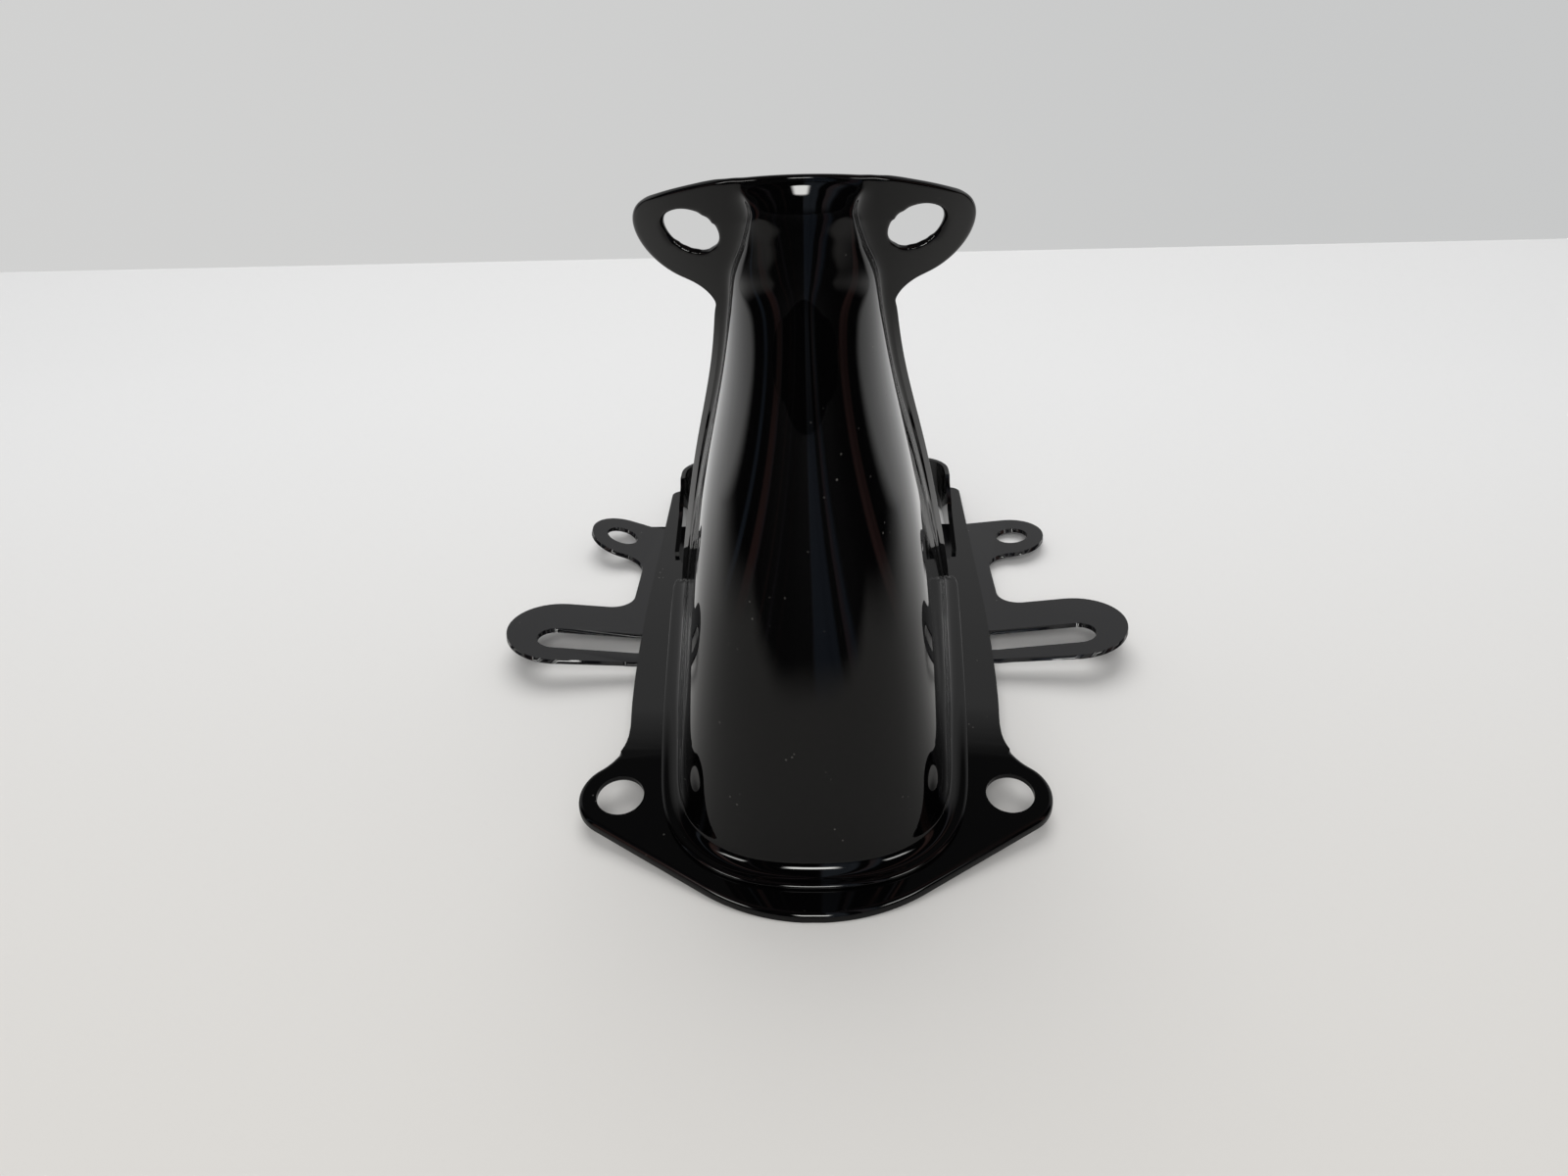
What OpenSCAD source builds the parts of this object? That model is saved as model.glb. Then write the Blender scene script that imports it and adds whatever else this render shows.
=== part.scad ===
/* [Sheet] */
// Thickness of the pressed steel sheet
sheet = 1.6; // [1.2:0.1:2]

/* [Lamp plate] */
// Tilt of the lamp face against the table, in degrees
lamp_tilt = 8.7; // [7.5:0.1:9.5]
// Depth of the turned-down lip along the front and the ears
lip_depth = 2.4; // [2:0.1:3]
// Radius of the curved front edge
front_r = 52.5; // [48:0.5:58]
// Half the distance between the two lamp holes
lamp_hole_x = 52.8; // [50:0.1:55]
// Distance of the lamp holes behind the front edge
lamp_hole_y = 37.4; // [35:0.1:40]
// Radius of each rounded ear
ear_r = 11.4; // [10.5:0.1:12.5]
// Diameter of the lamp holes
lamp_hole_d = 13; // [11:0.1:14]
// Half the width of the plate where the rails start
rail_half_w = 53; // [52:0.1:54]
// How much further out the rails end up
rail_flare = 4.7; // [3:0.1:6]
// Distance of the crosswise bend behind the front edge
bend_y = 61.3; // [60:0.1:63]
// Overall length of the plate
plate_l = 222; // [215:0.5:228]
// Height of the turned-up rim at the far end of the opening
rim_h = 17; // [10:0.5:19]

/* [Plate carrier] */
// Distance between the bolt holes of the two short arms
plate_hole_spacing = 146; // [140:0.5:150]
// Distance between the two rows of arms
row_spacing = 70; // [66:0.5:74]
// Half the overall width across the long arms
long_reach = 100.5; // [98:0.5:105]
// Half the overall width across the short arms
short_reach = 84.4; // [82:0.1:88]
// Width of the slots and of the round holes
slot_w = 11.4; // [9:0.1:12]
// Upward lean of the arms, in degrees
arm_lean = 5.5; // [3:0.5:8]
// Further lean of the left short arm, which is bent up more than the rest
left_bend = 14; // [4:0.5:16]

/* [Nacelle] */
// Crown radius of the mudguard that the upper flange fits
guard_r = 79; // [75:1:90]
// Slope of the mudguard against the vertical, in degrees
guard_slope = 30.5; // [28:0.5:33]
// Half the distance between the two mudguard holes
guard_hole_x = 23.6; // [22:0.1:25]
// Diameter of the mudguard holes
guard_hole_d = 12.4; // [10:0.1:13]
// Radius of each ear of the upper flange
guard_ear_r = 12; // [11.5:0.1:13]
// Height of the mudguard holes above the table
guard_hole_z = 158; // [155:0.5:162]
// Distance of the mudguard holes behind the front edge
guard_hole_y = 45.8; // [43:0.1:47]
// Radius of the hollow root where the nacelle meets its base flange
root_r = 4.2; // [3:0.1:5]
// Width of the flat base flange beyond the root
base_flange_w = 1.5; // [1:0.1:2]

/* [Hidden] */
paint = "#131315";
smooth = 96;
eps = 0.01;

// Cross bend between the lamp face and the rails
bend_z = lip_depth + bend_y * tan(lamp_tilt);
// The rails run down to the table, which their far ends touch
rail_tilt = atan((bend_z - sheet) / (plate_l - bend_y));
rail_len = (plate_l - bend_y) / cos(rail_tilt);
// The origin sits under the middle of the part
mid_y = plate_l / 2;

// Rows of the carrier, measured along the rails from the bend
short_row_q = 118;
long_row_q = short_row_q - row_spacing;
short_arm_r = 13.2;
long_arm_r = 17.2;
long_arm_q = long_row_q + 4.4;
carrier_far_q = short_row_q + short_arm_r;
carrier_near_q = long_arm_q - long_arm_r + 1.6;
fold_x = 58;
bend_x = 63.5;
slot_inner_x = 50;
slot_outer_x = 89.7;
window_x = 42;
window_q0 = carrier_near_q + 14;
window_q1 = carrier_far_q - 14;
window_r = 8;

// Top of the lamp face above the table at a distance y from the front
function lamp_z(y) = bend_z - (bend_y - y) * tan(lamp_tilt);
// Top of the rails above the table
function rail_z(y) = bend_z - (y - bend_y) * tan(rail_tilt);
function base_z(y) = min(lamp_z(y), rail_z(y));

// Points of an arc, counted in degrees
function arc(c, r, a0, a1, n) =
    [for (i = [0:n]) c + r * [cos(a0 + (a1 - a0) * i / n), sin(a0 + (a1 - a0) * i / n)]];

// Lays a flat shape with its top face on the rails, measured from the bend
module on_rails() {
    translate([0, bend_y, bend_z]) rotate([-rail_tilt, 0, 0]) children();
}

module both_sides() {
    children();
    mirror([1, 0, 0]) children();
}

// Outline of the plate seen from above: curved front, two round ears, two rails.
// The hollow corner behind each ear ends a little before the cross bend.
straight = 1.5;
fillet_y = bend_y - straight;
ear_back = fillet_y - lamp_hole_y;
ear_side = rail_half_w - lamp_hole_x;
ear_fillet_r = (pow(ear_side, 2) + pow(ear_back, 2) - pow(ear_r, 2)) / (2 * (ear_r - ear_side));

// Outer edge of a rail: it flares quickly at first, then runs almost straight
function rail_x(y) = rail_half_w + rail_flare * (1 - exp(-(y - bend_y - straight) / 45));

// Closes the right half of an outline with its mirror image
function mirrored(right) = concat(right, [for (i = [len(right) - 1:-1:0]) [-right[i][0], right[i][1]]]);

// Front edge and ear, from the middle to the hollow corner behind the ear. Each arc
// starts a few degrees late, so that no two points fall on each other.
function ear_edge(inset) = let (
        late = 3,
        r1 = front_r - inset,
        r2 = ear_r - inset,
        front_c = [0, front_r],
        hole = [lamp_hole_x, lamp_hole_y],
        fillet_c = [rail_half_w + ear_fillet_r, fillet_y],
        lean = atan2(lamp_hole_y - front_r, lamp_hole_x) - acos((r1 - r2) / norm(hole - front_c)),
        back = atan2(fillet_y - lamp_hole_y, fillet_c[0] - lamp_hole_x))
    concat(
        arc(front_c, r1, late - 90, lean, 20),
        arc(hole, r2, lean, back, 24),
        arc(fillet_c, ear_fillet_r + inset, back - 180 - late, -180, 12));

module plate_outline() {
    corner_r = 4;
    corner_c = [rail_x(plate_l) - corner_r, plate_l - corner_r];
    rail_y0 = bend_y + straight;
    steps = 14;
    polygon(mirrored(concat(
        ear_edge(0),
        [for (i = [0:steps]) let (y = rail_y0 + (corner_c[1] - rail_y0) * i / steps) [rail_x(y), y]],
        arc(corner_c, corner_r, 9, 90, 5))));
}

module lip_inside() {
    polygon(mirrored(concat(ear_edge(sheet), [[rail_half_w - sheet, bend_y]])));
}

// Opening between the rails, as far as the inner face of the turned-up rim
open_y = 17;
open_corner_r = 20;
open_bend_x = 34.5;
open_foot = [43, 145];
rim_x = 49.4;
rim_y0 = 165;
rim_y1 = 213.4;
rim_corner_r = 10;

module opening_outline(grow = 0) {
    c = [open_bend_x - open_corner_r, open_y + open_corner_r];
    x = rim_x + grow;
    r = rim_corner_r + grow;
    polygon(mirrored(concat(
        arc(c, open_corner_r, -90, -8, 8),
        [[open_bend_x, bend_y], open_foot, [x, rim_y0]],
        arc([x - r, rim_y1 + grow - r], r, 0, 90, 8))));
}

// A long bar across the part with the given side view
module across(side_view) {
    width = 2 * (lamp_hole_x + 2 * ear_r);
    translate([-width / 2, 0, 0]) rotate([90, 0, 90]) linear_extrude(width) polygon(side_view);
}

// An upright block from the height h0 to h1
module upright(h0, h1) {
    translate([0, 0, h0]) linear_extrude(h1 - h0) children();
}

// A block from the same plan outline, with walls square to the lamp face
module square_to_lamp_face(h0, h1) {
    translate([0, bend_y, bend_z]) rotate([lamp_tilt, 0, 0]) upright(h0, h1)
        scale([1, 1 / cos(lamp_tilt)]) translate([0, -bend_y]) children();
}

module lamp_plate() {
    low = -3 * sheet;
    high = bend_z + rim_h + 3 * sheet;
    front = -sheet;
    back = plate_l + sheet;
    // The lip dies out behind the ears
    lip_end = lamp_hole_y + 7.2;
    // The rim grows out of the rails and is trimmed by hand along its top
    rim_top = [[rim_y0 + 1, 0.1 * rim_h], [rim_y0 + 12, 0.3 * rim_h], [rim_y0 + 21, 0.48 * rim_h],
        [rim_y0 + 22.5, 0.6 * rim_h], [rim_y0 + 31, 0.84 * rim_h], [rim_y0 + 33, rim_h], [back, rim_h]];
    color(paint) {
        difference() {
            // Bent sheet, thick enough at the front for the lip
            intersection() {
                across([[front, lamp_z(front)], [bend_y, bend_z], [back, rail_z(back)],
                    [back, rail_z(back) - sheet], [bend_y, bend_z - sheet],
                    [lip_end, lamp_z(lip_end) - sheet], [lip_end, lamp_z(lip_end) - lip_depth],
                    [front, lamp_z(front) - lip_depth]]);
                upright(low, high) plate_outline();
            }
            // Underside between the lips
            intersection() {
                across([[front, lamp_z(front) - sheet], [lip_end, lamp_z(lip_end) - sheet],
                    [lip_end, low], [front, low]]);
                square_to_lamp_face(2 * low, high) lip_inside();
            }
            upright(2 * low, high) opening_outline();
            both_sides() translate([lamp_hole_x, lamp_hole_y, lamp_z(lamp_hole_y)]) rotate([lamp_tilt, 0, 0])
                cylinder(d = lamp_hole_d, h = 6 * sheet, center = true, $fn = smooth);
        }
        intersection() {
            upright(low, high) difference() {
                opening_outline(sheet);
                opening_outline();
            }
            across(concat([for (p = rim_top) [p[0], rail_z(p[0]) + p[1]]],
                [[back, rail_z(back) - sheet / 2], [rim_y0 + 1, rail_z(rim_y0 + 1) - sheet / 2]]));
        }
    }
}

module slot_outline() {
    x0 = slot_inner_x + slot_w / 2;
    x1 = slot_outer_x - slot_w / 2;
    for (x = [x0, x1]) translate([x, long_row_q]) circle(d = slot_w, $fn = smooth);
    translate([x0, long_row_q - slot_w / 2]) square([x1 - x0, slot_w]);
}

// Flat middle of the carrier, with a window for the back of the lamp
module carrier_middle() {
    wide = window_x - window_r;
    long = (window_q1 - window_q0) / 2 - window_r;
    linear_extrude(sheet) difference() {
        translate([-fold_x, carrier_near_q]) square([2 * fold_x, carrier_far_q - carrier_near_q]);
        translate([0, (window_q0 + window_q1) / 2]) {
            square([2 * window_x, 2 * long], center = true);
            square([2 * wide, 2 * (long + window_r)], center = true);
            for (x = [-wide, wide]) for (q = [-long, long])
                translate([x, q]) circle(r = window_r, $fn = smooth);
        }
    }
}

// The two arms of one side as a flat blank, beyond the fold line
module arms_blank() {
    web_r = 8;
    waist_x = 62.2;
    long_far = long_arm_q + long_arm_r;
    short_near = short_row_q - short_arm_r;
    long_tip = long_reach - long_arm_r;
    short_tip = short_reach - short_arm_r;
    difference() {
        union() {
            // Web between the arms
            translate([fold_x, carrier_near_q]) square([waist_x - fold_x, carrier_far_q - carrier_near_q]);
            // Long arm: its near edge widens a little on the way out
            polygon([[fold_x, carrier_near_q], [fold_x + 3, carrier_near_q],
                [long_tip, long_arm_q - long_arm_r], [long_tip, long_far], [fold_x, long_far]]);
            translate([long_tip, long_arm_q]) circle(r = long_arm_r, $fn = smooth);
            // Short arm
            translate([fold_x, short_near]) square([short_tip - fold_x, 2 * short_arm_r]);
            translate([short_tip, short_row_q]) circle(r = short_arm_r, $fn = smooth);
            // Hollow corners between the two arms
            translate([waist_x, long_far]) square([web_r, web_r]);
            translate([waist_x, short_near - web_r]) square([web_r, web_r]);
        }
        translate([waist_x + web_r, long_far + web_r]) circle(r = web_r, $fn = smooth);
        translate([waist_x + web_r, short_near - web_r]) circle(r = web_r, $fn = smooth);
    }
}

// Turns what lies beyond a fold line upwards
module folded(x, angle) {
    translate([x, 0, 0]) rotate([0, -angle, 0]) translate([-x, 0, 0]) children();
}

module short_arm_hole() {
    translate([plate_hole_spacing / 2, short_row_q, -sheet]) cylinder(d = slot_w, h = 3 * sheet, $fn = smooth);
}

module plate_carrier() {
    between_q = (long_row_q + short_row_q) / 2;
    color(paint) on_rails() translate([0, 0, -2 * sheet]) difference() {
        union() {
            carrier_middle();
            // Right arms
            folded(fold_x, arm_lean) difference() {
                linear_extrude(sheet) arms_blank();
                short_arm_hole();
            }
            // Left arms: the short one is bent up further
            mirror([1, 0, 0]) folded(fold_x, arm_lean) {
                linear_extrude(sheet) difference() {
                    arms_blank();
                    translate([bend_x, between_q]) square([long_reach, rail_len]);
                }
                folded(bend_x, left_bend) difference() {
                    linear_extrude(sheet) intersection() {
                        arms_blank();
                        translate([bend_x, between_q]) square([long_reach, rail_len]);
                    }
                    short_arm_hole();
                }
            }
        }
        both_sides() translate([0, 0, -2 * sheet]) linear_extrude(8 * sheet) slot_outline();
    }
}

// Mudguard frame: x across, w up along the guard from its holes, e out from the crown
hole_drop = guard_r - sqrt(pow(guard_r, 2) - pow(guard_hole_x, 2));
function drop(x) = guard_r - sqrt(pow(guard_r, 2) - pow(x, 2));
function guard(x, w, e) = [
    x,
    guard_hole_y - w * sin(guard_slope) - (e + hole_drop) * cos(guard_slope),
    guard_hole_z + w * cos(guard_slope) - (e + hole_drop) * sin(guard_slope)];

// Outline of the upper flange: neck, hollow corner, round ear, shallow top arc
top_edge_w = 17;
ear_c = [24.7, -3.4];
neck_x = 19.8;
neck_fillet_r = 8;
neck_c = [neck_x + neck_fillet_r,
    ear_c[1] - sqrt(pow(guard_ear_r + neck_fillet_r, 2) - pow(neck_x + neck_fillet_r - ear_c[0], 2))];
top_r = (pow(ear_c[0], 2) + pow(top_edge_w - ear_c[1], 2) - pow(guard_ear_r, 2))
    / (2 * (top_edge_w - ear_c[1] - guard_ear_r));
top_c = [0, top_edge_w - top_r];
ear_a0 = atan2(neck_c[1] - ear_c[1], neck_c[0] - ear_c[0]);
ear_a1 = atan2(ear_c[1] - top_c[1], ear_c[0] - top_c[0]);
// Runs from the neck, at 0, round the ear to the start of the top arc, at 1
function ear_outline(t) = t < 0.25
    ? let (a = 180 + (ear_a0) * t / 0.25) neck_c + neck_fillet_r * [cos(a), sin(a)]
    : let (a = ear_a0 + (ear_a1 - ear_a0) * (t - 0.25) / 0.75) ear_c + guard_ear_r * [cos(a), sin(a)];

// Stations of the nacelle, from its base to the top edge of the flange. Each holds
// the ridge (w, e), the foot of the side wall (w, x), the root radius beside it,
// the round part of the arch, its squareness and how narrow its front is.
stations = [
    [-111.4, 100.7, -174.5, 43.6, 2.0, 0.22, 2.6, 0.76],
    [-87.0, 82.8, -135.0, 37.2, 2.0, 0.30, 2.5, 0.80],
    [-55.1, 58.1, -90.0, 29.4, 2.0, 0.50, 2.3, 0.88],
    [-24.1, 32.0, -48.0, 20.9, 2.0, 0.80, 2.1, 0.97],
    [-5.2, 14.9, -23.4, 16.4, 2.4, 1.00, 2.0, 1.00],
    [1.5, 8.6, -10.5, 14.2, 3.2, 1.00, 2.0, 1.00],
    [6.6, 3.6, -2.5, 12.4, 3.4, 1.00, 2.0, 1.00],
    [11.0, 0.7, 4.5, 11.2, 3.2, 1.00, 2.0, 1.00],
    [17.0, 0.0, 15.8, 11.0, 2.4, 1.00, 2.0, 1.00]];
neck_stations = 4;
lip_w = 1.5;

// Smooth curve through the stations
function at_station(t, k) = let (
        last = len(stations) - 1,
        i = min(floor(t), last - 1),
        f = t - i,
        a = stations[max(i - 1, 0)][k],
        b = stations[i][k],
        c = stations[i + 1][k],
        d = stations[min(i + 2, last)][k])
    b + 0.5 * f * (c - a + f * (2 * a - 5 * b + 4 * c - d + f * (3 * (b - c) + d - a)));

arch_steps = 15;
root_steps = 3;
flange_steps = 4;
side_cols = arch_steps + root_steps + flange_steps;

// The top edge is a shallow arc across the flange
function top_arc(x) = top_c[1] + sqrt(pow(top_r, 2) - pow(x, 2));
last_station = len(stations) - 1;

// Above the ridge the arch sinks into the crown of the flange
function settle(p, t) = let (
        sink = min(max((t - 5.5) / 2, 0), 1),
        rise = max(t - last_station + 1, 0))
    guard(p[0], p[1] + (top_arc(p[0]) - p[1]) * pow(rise, 3), p[2] + (-drop(p[0]) - p[2]) * sink);

// One point of the outer surface; c counts the columns out from the ridge
function skin(t, c) = let (
        ridge = [at_station(t, 0), at_station(t, 1)],
        foot_w = at_station(t, 2),
        wall_x = at_station(t, 3),
        r = at_station(t, 4),
        round_part = at_station(t, 5),
        power = at_station(t, 6),
        front = at_station(t, 7),
        turn = 90 - asin(wall_x / guard_r),
        edge_x = wall_x + r * (1 - cos(turn)),
        edge = [foot_w, -drop(edge_x)],
        reach = norm(edge - ridge),
        along = (edge - ridge) / reach,
        depth = min(r * sin(turn), 0.6 * reach),
        wall = edge - along * depth,
        ear = t > neck_stations
            ? ear_outline((t - neck_stations) / (last_station - neck_stations)) : [edge_x + lip_w, foot_w])
    c <= arch_steps
        ? let (
            u = pow(c / arch_steps, 1.9),
            s = pow(1 - pow(1 - min(u / round_part, 1), power), 1 / power),
            p = ridge + (wall - ridge) * u)
          settle([wall_x * (front + (1 - front) * pow(u, 0.8)) * s, p[0], p[1]], t)
    : c <= arch_steps + root_steps
        ? let (
            b = turn * (c - arch_steps) / root_steps,
            p = wall + along * depth * sin(b) / sin(turn))
          settle([wall_x + r * (1 - cos(b)), p[0], p[1]], t)
    : let (
        f = (c - arch_steps - root_steps) / flange_steps,
        x = edge_x + (ear[0] - edge_x) * f,
        w = foot_w + (ear[1] - foot_w) * f)
      settle([x, w, -drop(x)], t);

// The lowest row is brought down on the plates, with the hollow root and the base flange
seat = 1.02 * sheet;
lift = seat + root_r;
// The base flange rides over the cross bend instead of being creased by it
function ride(y) = base_z(y) + 0.45 * max(0, 1 - abs(y - bend_y) / 8);
function foot_point(c) = let (p = skin(0, c)) [p[0], p[1], ride(p[1]) + lift];
function foot_out(c) = let (
        a = foot_point(max(c - 1, 0)),
        b = foot_point(min(c + 1, arch_steps)),
        n = [b[1] - a[1], a[0] - b[0]],
        swing = 60 * max(c - arch_steps, 0) / (side_cols - arch_steps))
    c == 0 ? [0, -1] : c <= arch_steps ? n / norm(n) : [cos(swing), sin(swing)];
function foot_share(c) = c <= arch_steps ? 1 : 1 - 0.6 * (c - arch_steps) / (side_cols - arch_steps);
function base_row(c, b, flat) = let (
        p = foot_point(c),
        n = foot_out(c),
        o = (root_r * (1 - cos(b)) + flat) * foot_share(c),
        y = p[1] + n[1] * o)
    [p[0] + n[0] * o, y, ride(y) + seat + root_r * (1 - sin(b))];

// Rows from the base flange up to the top edge; columns from left to right
base_rows = [[90, base_flange_w], [90, 0.1], [60, 0], [30, 0]];
wall_rows = 4;
flange_rows = 6;
row_count = neck_stations * wall_rows + (last_station - neck_stations) * flange_rows;
function row_station(j) = j < neck_stations * wall_rows
    ? j / wall_rows : neck_stations + (j - neck_stations * wall_rows) / flange_rows;
function wall_point(j, c) = let (
        t = row_station(j),
        p = skin(t, c),
        f = max(0, 1 - t / 0.75))
    p + [0, 0, f * (foot_point(c)[2] - skin(0, c)[2])];
function half_row(j) = j < len(base_rows)
    ? [for (c = [0:side_cols]) base_row(c, base_rows[j][0], base_rows[j][1])]
    : [for (c = [0:side_cols]) wall_point(j - len(base_rows), c)];
function full_row(j) = let (h = half_row(j))
    concat([for (c = [side_cols:-1:1]) [-h[c][0], h[c][1], h[c][2]]], h);

// A closed shell from a grid of outer points, with the sheet's thickness behind it
module sheet_shell(grid) {
    rows = len(grid);
    cols = len(grid[0]);
    function at(j, i) = grid[max(0, min(rows - 1, j))][max(0, min(cols - 1, i))];
    function normal(j, i) = let (
        n = cross(at(j, i + 1) - at(j, i - 1), at(j + 1, i) - at(j - 1, i))) n / norm(n);
    outer = [for (j = [0:rows - 1]) for (i = [0:cols - 1]) at(j, i)];
    inner = [for (j = [0:rows - 1]) for (i = [0:cols - 1]) at(j, i) - sheet * normal(j, i)];
    count = rows * cols;
    function id(j, i) = j * cols + i;
    faces = concat(
        [for (j = [0:rows - 2]) for (i = [0:cols - 2]) for (k = [0, 1]) k == 0
            ? [id(j, i), id(j + 1, i), id(j + 1, i + 1)] : [id(j, i), id(j + 1, i + 1), id(j, i + 1)]],
        [for (j = [0:rows - 2]) for (i = [0:cols - 2]) for (k = [0, 1]) k == 0
            ? [count + id(j, i), count + id(j + 1, i + 1), count + id(j + 1, i)]
            : [count + id(j, i), count + id(j, i + 1), count + id(j + 1, i + 1)]],
        [for (i = [0:cols - 2]) for (k = [0, 1]) k == 0
            ? [id(0, i), id(0, i + 1), count + id(0, i + 1)] : [id(0, i), count + id(0, i + 1), count + id(0, i)]],
        [for (i = [0:cols - 2]) for (k = [0, 1]) let (j = rows - 1) k == 0
            ? [id(j, i), count + id(j, i + 1), id(j, i + 1)] : [id(j, i), count + id(j, i), count + id(j, i + 1)]],
        [for (j = [0:rows - 2]) for (k = [0, 1]) k == 0
            ? [id(j, 0), count + id(j + 1, 0), id(j + 1, 0)] : [id(j, 0), count + id(j, 0), count + id(j + 1, 0)]],
        [for (j = [0:rows - 2]) for (k = [0, 1]) let (i = cols - 1) k == 0
            ? [id(j, i), id(j + 1, i), count + id(j + 1, i)] : [id(j, i), count + id(j + 1, i), count + id(j, i)]]);
    polyhedron(points = concat(outer, inner), faces = faces, convexity = 8);
}

module nacelle() {
    hole_lean = asin(guard_hole_x / guard_r);
    color(paint) difference() {
        sheet_shell([for (j = [0:len(base_rows) + row_count]) full_row(j)]);
        // Mudguard holes, square to the crowned flange
        both_sides() translate([guard_hole_x, guard_hole_y, guard_hole_z])
            rotate([90 + guard_slope, 0, 0]) rotate([0, hole_lean, 0])
            cylinder(d = guard_hole_d, h = 12 * sheet, center = true, $fn = smooth);
    }
}

translate([0, -mid_y, 0]) nacelle();
translate([0, -mid_y, 0]) lamp_plate();
translate([0, -mid_y, 0]) plate_carrier();
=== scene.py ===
# %% [markdown]
# # A license plate bracket in pressed and painted sheet steel
# The real bracket is three steel pressings under one coat of gloss black: a drawn
# nacelle that bolts to a mudguard, a lamp plate with two ears and two rails, and a
# flat carrier with four arms for the number plate. The CAD model gives the frame:
# every piece below is placed by the CAD's own numbers, so that nothing is fitted by eye.

# %% Load the frame
from math import asin, atan2, cos, degrees, hypot, pi, radians, sin, sqrt, tan

import bmesh
import bpy
from mathutils import Matrix, Vector


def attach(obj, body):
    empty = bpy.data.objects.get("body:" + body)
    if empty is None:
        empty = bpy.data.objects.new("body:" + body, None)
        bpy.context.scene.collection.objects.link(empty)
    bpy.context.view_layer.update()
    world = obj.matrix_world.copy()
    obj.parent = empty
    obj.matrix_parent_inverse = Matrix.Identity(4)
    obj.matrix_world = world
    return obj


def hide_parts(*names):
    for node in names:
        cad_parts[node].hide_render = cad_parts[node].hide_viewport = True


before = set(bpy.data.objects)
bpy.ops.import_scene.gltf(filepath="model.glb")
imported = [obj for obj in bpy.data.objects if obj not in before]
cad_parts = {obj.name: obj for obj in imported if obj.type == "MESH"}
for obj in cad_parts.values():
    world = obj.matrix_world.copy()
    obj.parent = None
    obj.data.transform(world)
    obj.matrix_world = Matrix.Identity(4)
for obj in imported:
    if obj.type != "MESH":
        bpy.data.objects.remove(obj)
bpy.context.scene.view_settings.view_transform = "Standard"
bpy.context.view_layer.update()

# %% [markdown]
# ## The camera
# It could be set up by trial, but the photograph is of a known shape on a flat table, so
# its place, pitch, roll and yaw were worked out from matched points. The camera stands
# close, above the front edge, and looks down at 33 degrees.

# %% Camera
PITCH, ROLL, YAW = 0.57985, -0.03479, -0.04253
ahead = Vector((sin(YAW) * cos(PITCH), cos(YAW) * cos(PITCH), -sin(PITCH)))
level = Vector((cos(YAW), -sin(YAW), 0))
above = level.cross(ahead)
camera_right = cos(ROLL) * level + sin(ROLL) * above
camera_up = cos(ROLL) * above - sin(ROLL) * level

bpy.ops.object.camera_add(location=(0, 0, 0))
camera = bpy.context.object
camera.name = "photo_camera"
camera.data.lens = 27.045
camera.data.sensor_width = 36
camera.data.clip_start = 0.01
turn = Matrix((camera_right, camera_up, -ahead)).transposed().to_4x4()
camera.matrix_world = Matrix.Translation((0.003835, -0.309691, 0.229717)) @ turn
bpy.context.scene.camera = camera
print("camera at", [round(v, 3) for v in camera.location], "lens", camera.data.lens)

# %% [markdown]
# ## Small hand tools
# A few helpers keep the modelling cells short. Sizes are written in millimetres, as on a
# workshop drawing, and measured from the middle of the front edge; `place` turns such a
# point into metres in the frame of the part, whose origin is under its middle.

# %% Helpers for modelling
MM = 0.001
LENGTH = 222.0
MIDDLE = LENGTH / 2


def place(x, y, z):
    return Vector((x * MM, (y - MIDDLE) * MM, z * MM))


def drawn(point):
    """Millimetres from the front edge, from a point of a mesh."""
    return point[0] / MM, point[1] / MM + MIDDLE, point[2] / MM


def only(piece):
    """Deselects all and makes this piece the active one."""
    if bpy.context.object and bpy.context.object.mode != "OBJECT":
        bpy.ops.object.mode_set(mode="OBJECT")
    bpy.ops.object.select_all(action="DESELECT")
    piece.select_set(True)
    bpy.context.view_layer.objects.active = piece


def pick(piece, kind, wanted):
    """Opens edit mode and selects the verts, edges or faces that a test accepts."""
    only(piece)
    bpy.ops.object.mode_set(mode="EDIT")
    bpy.ops.mesh.select_mode(type={"verts": "VERT", "edges": "EDGE", "faces": "FACE"}[kind])
    bpy.ops.mesh.select_all(action="DESELECT")
    mesh = bmesh.from_edit_mesh(piece.data)
    chosen = [element for element in getattr(mesh, kind) if wanted(element)]
    for element in chosen:
        element.select_set(True)
    if kind == "faces":
        mesh.select_flush(True)
    bmesh.update_edit_mesh(piece.data)
    return len(chosen)


def done(piece):
    bpy.ops.object.mode_set(mode="OBJECT")
    return piece


def apply(piece, kind, **settings):
    """Adds a modifier, sets it and applies it."""
    only(piece)
    modifier = piece.modifiers.new(kind.title(), kind)
    for name, value in settings.items():
        setattr(modifier, name, value)
    bpy.ops.object.modifier_apply(modifier=modifier.name)
    return piece


def report(piece):
    mesh = bmesh.new()
    mesh.from_mesh(piece.data)
    open_edges = sum(1 for edge in mesh.edges if len(edge.link_faces) != 2)
    triangles = sum(len(face.verts) - 2 for face in mesh.faces)
    volume = mesh.calc_volume(signed=True) * 1e9
    mesh.free()
    print(f"{piece.name}: {triangles} triangles, {open_edges} open edges, {volume:.0f} mm3")


# %% [markdown]
# ## The numbers of the part
# These are the named values of the CAD source. The lamp face rises from the front lip to
# a cross bend, and the rails run down from there to the table. In real sheet the bend is
# a soft curve, so the height over a distance from the front is rounded near the bend.

# %% Numbers of the part
SHEET = 1.6
LAMP_TILT = tan(radians(8.7))
LIP_DEPTH = 2.4
LAMP_HOLE = (52.8, 37.4)
EAR_R = 11.4
BEND_Y = 61.3
BEND_Z = LIP_DEPTH + BEND_Y * LAMP_TILT
RAIL_TILT = (BEND_Z - SHEET) / (LENGTH - BEND_Y)
BEND_SOFT = 12.0


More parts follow.
